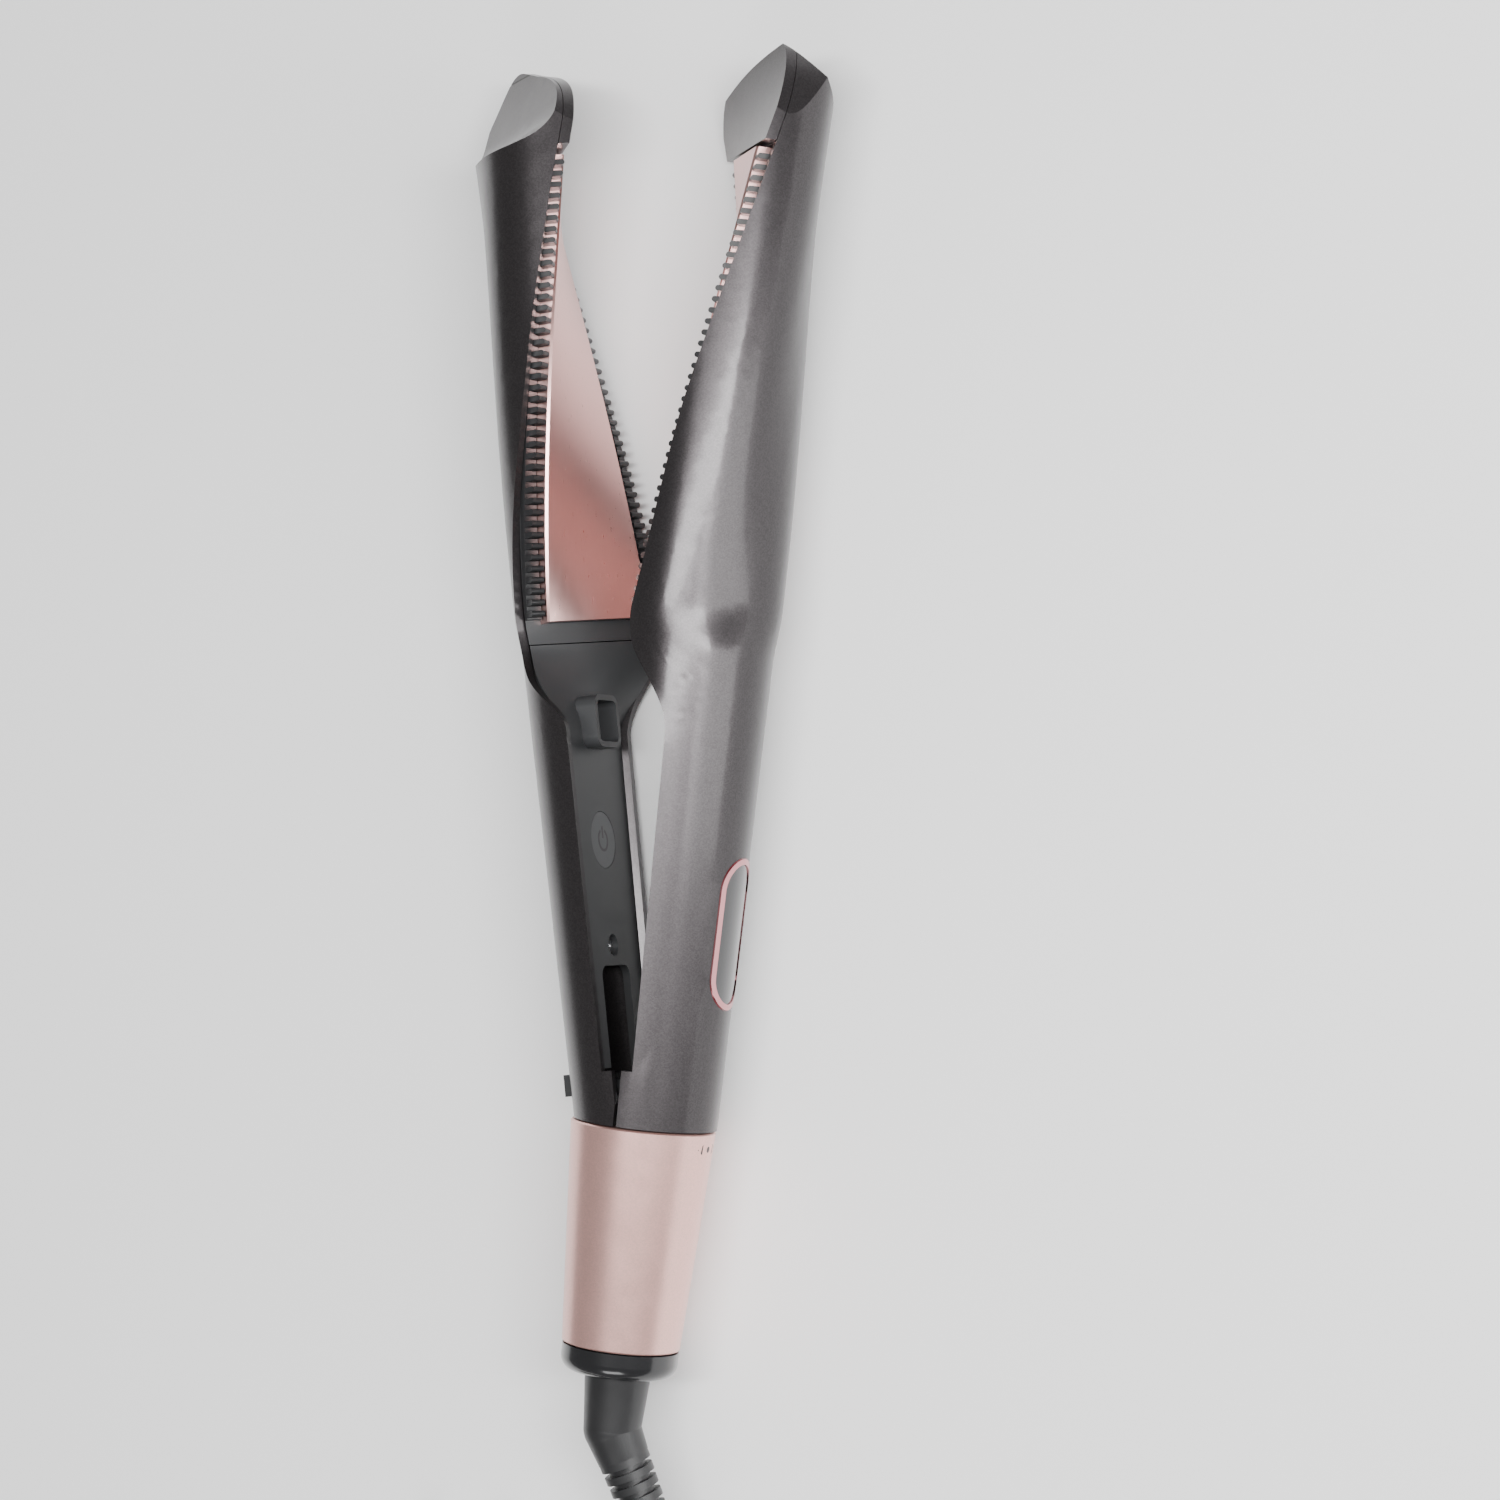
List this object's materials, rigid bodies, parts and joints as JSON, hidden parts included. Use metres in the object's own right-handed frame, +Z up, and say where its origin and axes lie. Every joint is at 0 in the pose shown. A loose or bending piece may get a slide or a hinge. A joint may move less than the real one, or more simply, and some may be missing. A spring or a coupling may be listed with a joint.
{
  "type": "flat iron",
  "caption": "Flat iron with two sprung arms, twisted heated plates with vented combs, a turning tail dial, a display and a swivel cord.",
  "frame": {"origin": "middle of the open iron's footprint, cord left out, on the surface that it lies on", "axes": "+Y along the display arm from the cord end towards the tips, +Z up along the hinge pin, +X towards the display side"},
  "size_m": [0.1072, 0.4968, 0.0402],
  "materials": {
    "shell_paint": "satin metallic",
    "satin_black": "satin",
    "plate_pink": "satin, tinted ceramic coat",
    "dial_gold": "satin metallic",
    "bezel_chrome": "polished, tinted",
    "gloss_black": "gloss",
    "core_plastic": "moulded",
    "button_grey": "satin",
    "steel": "brushed",
    "board_green": "solder resist",
    "heater_white": "ceramic",
    "lead_silicone": "silicone sleeve",
    "cord_rubber": "matt",
    "plug_black": "satin",
    "pin_brass": "nickel plated"
  },
  "bodies": {
    "handle": {"control_board": "board_green", "cord_coil": "cord_rubber", "cord_end": "cord_rubber", "cord_lead": "cord_rubber", "cord_tie": "plug_black", "dial_switch": "core_plastic", "display_bezel": "bezel_chrome", "display_lens": "gloss_black", "display_module": "core_plastic", "end_cap": "gloss_black", "front_carrier": "satin_black", "front_comb_lower": "satin_black", "front_comb_upper": "satin_black", "front_heater": "heater_white", "front_heater_leads": "lead_silicone", "front_inner_cover": "satin_black", "front_plate": "plate_pink", "front_screw": "steel", "front_shell": "shell_paint", "front_thermal_fuse": "steel", "front_tip_cap": "shell_paint", "hinge_pin": "steel", "hinge_spring": "steel", "plug_body": "plug_black", "plug_pins": "pin_brass", "tail_core": "core_plastic"},
    "rear_arm": {"power_switch": "core_plastic", "rear_carrier": "satin_black", "rear_comb_lower": "satin_black", "rear_comb_upper": "satin_black", "rear_heater": "heater_white", "rear_heater_leads": "lead_silicone", "rear_hinge_block": "core_plastic", "rear_inner_cover": "satin_black", "rear_plate": "plate_pink", "rear_screw": "steel", "rear_shell": "shell_paint", "rear_thermal_fuse": "steel", "rear_tip_cap": "shell_paint", "switch_board": "board_green"},
    "dial": {"dial": "dial_gold", "dial_cam": "core_plastic"},
    "power_button": {"power_button": "button_grey"},
    "lock_slider": {"lock_slider": "satin_black", "lock_plate": "core_plastic"},
    "swivel": {"swivel_neck": "cord_rubber", "strain_relief": "cord_rubber"}
  },
  "joints": [
    {"name": "arm_hinge", "type": "hinge", "parent": "handle", "child": "rear_arm", "pos_m": [0.02321, -0.0616, 0.02009], "axis": [0, 0, -1], "range_deg": [0, 12.5], "stiffness_Nm_per_rad": 0.5, "springref_deg": -34.38},
    {"name": "dial_turn", "type": "hinge", "parent": "handle", "child": "dial", "pos_m": [0.02321, -0.0941, 0.02009], "axis": [0, 1, 0], "range_deg": [-9, 9], "stiffness_Nm_per_rad": 0.15},
    {"name": "power_press", "type": "slide", "parent": "rear_arm", "child": "power_button", "axis": [-0.9763, -0.2164, 0], "range_m": [0, 0.0006], "stiffness_N_per_m": 1500, "springref_m": -0.0005},
    {"name": "lock_slide", "type": "slide", "parent": "rear_arm", "child": "lock_slider", "axis": [-0.2164, 0.9763, 0], "range_m": [0, 0.004]},
    {"name": "cord_swivel", "type": "hinge", "parent": "handle", "child": "swivel", "pos_m": [0.02321, -0.1241, 0.02009], "axis": [0, 1, 0], "continuous": true}
  ]
}
